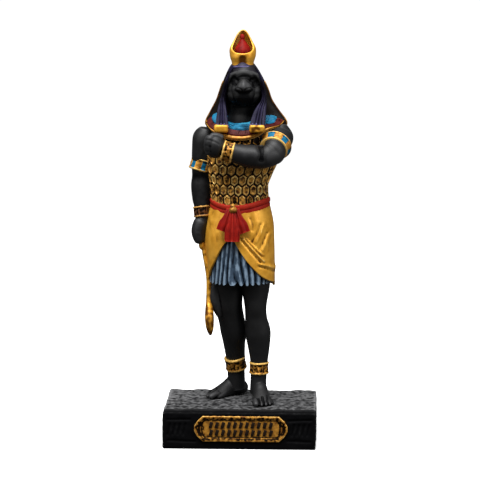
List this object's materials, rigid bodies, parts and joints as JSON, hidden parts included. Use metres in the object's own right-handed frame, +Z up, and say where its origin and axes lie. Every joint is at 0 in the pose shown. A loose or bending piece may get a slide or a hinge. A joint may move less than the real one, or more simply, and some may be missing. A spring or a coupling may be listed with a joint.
{
  "type": "falcon-headed figurine",
  "caption": "Standing falcon-headed guardian figure with tall crown, scale corselet, kilt and sickle sword on a rectangular plinth; a small painted ornament that stands on a shelf or desk.",
  "frame": {"origin": "middle of the plinth's underside, on the surface it stands on", "axes": "+Z up, the figure faces -Y, +X to the figure's left"},
  "size_m": [0.0332, 0.024, 0.09],
  "materials": {
    "painted_resin": "matt black paint on cast resin, with gold, red, turquoise and blue-grey painted dress"
  },
  "bodies": {
    "root": {"falcon_god_figure": "painted_resin"}
  },
  "joints": []
}
